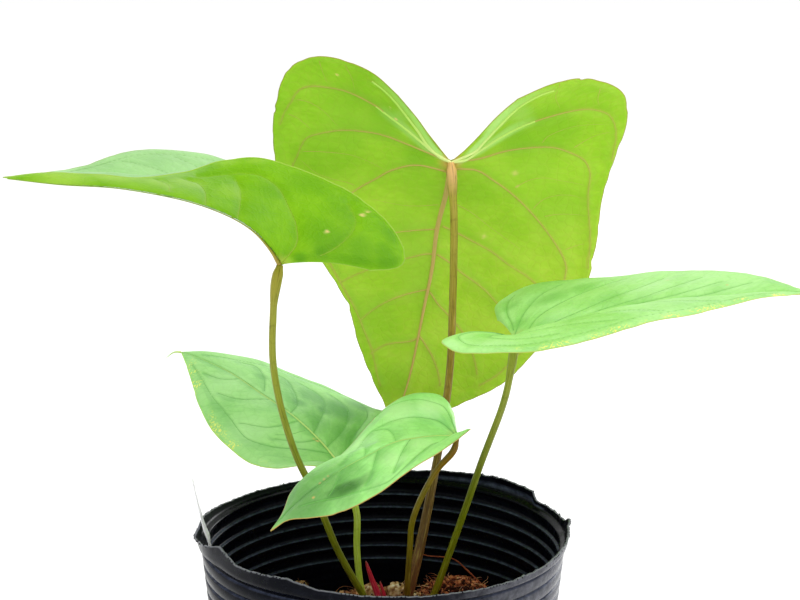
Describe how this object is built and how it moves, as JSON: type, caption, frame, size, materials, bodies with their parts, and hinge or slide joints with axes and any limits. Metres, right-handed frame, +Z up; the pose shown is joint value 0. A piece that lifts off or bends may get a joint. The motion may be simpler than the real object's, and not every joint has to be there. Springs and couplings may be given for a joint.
{
  "type": "potted anthurium",
  "caption": "Young potted anthurium hybrid with heart-shaped leaves on slender stalks, standing in a ribbed black nursery pot of coir and pumice mix.",
  "frame": {"origin": "middle of the underside of the pot, on the surface that it stands on", "axes": "+Z up, -Y towards the viewer of the picture, +X to the viewer's right"},
  "size_m": [0.304, 0.1703, 0.3295],
  "materials": {
    "pot_plastic": "thin black nursery pot plastic, satin",
    "mix": "loose coir, bark and pumice, rough",
    "crown": "living stem and roots, matte",
    "leaf_back": "thin living leaf, yellow-green, satin",
    "leaf_left": "thin living leaf, mid green, satin",
    "leaf_right": "thin living leaf, pale fresh green, satin",
    "leaf_middle": "thin living leaf, fresh green, satin",
    "leaf_front": "thin living leaf, fresh green, satin",
    "stalk_brown": "living stalk, brown, satin",
    "stalk_olive": "living stalk, olive, satin",
    "stalk_pale": "living stalk, pale green, satin",
    "stalk_golden": "living stalk, golden brown, satin",
    "sheath": "young bract, red, satin",
    "coir": "fibrous husk, rough",
    "bark": "bark, rough",
    "pumice": "porous pale stone, rough",
    "label_plastic": "thin white label plastic, plain"
  },
  "bodies": {
    "root": {"pot": "pot_plastic", "growing_mix": "mix", "crown_and_roots": "crown", "blade_back": "leaf_back", "blade_left": "leaf_left", "blade_right": "leaf_right", "blade_middle": "leaf_middle", "blade_front": "leaf_front", "stalk_back": "stalk_brown", "stalk_left": "stalk_olive", "stalk_right": "stalk_olive", "stalk_middle": "stalk_pale", "stalk_front": "stalk_golden", "red_sheath": "sheath", "coir_chunk": "coir", "bark_chip": "bark", "pumice_1": "pumice", "pumice_2": "pumice", "pumice_3": "pumice", "plant_label": "label_plastic"}
  },
  "joints": []
}
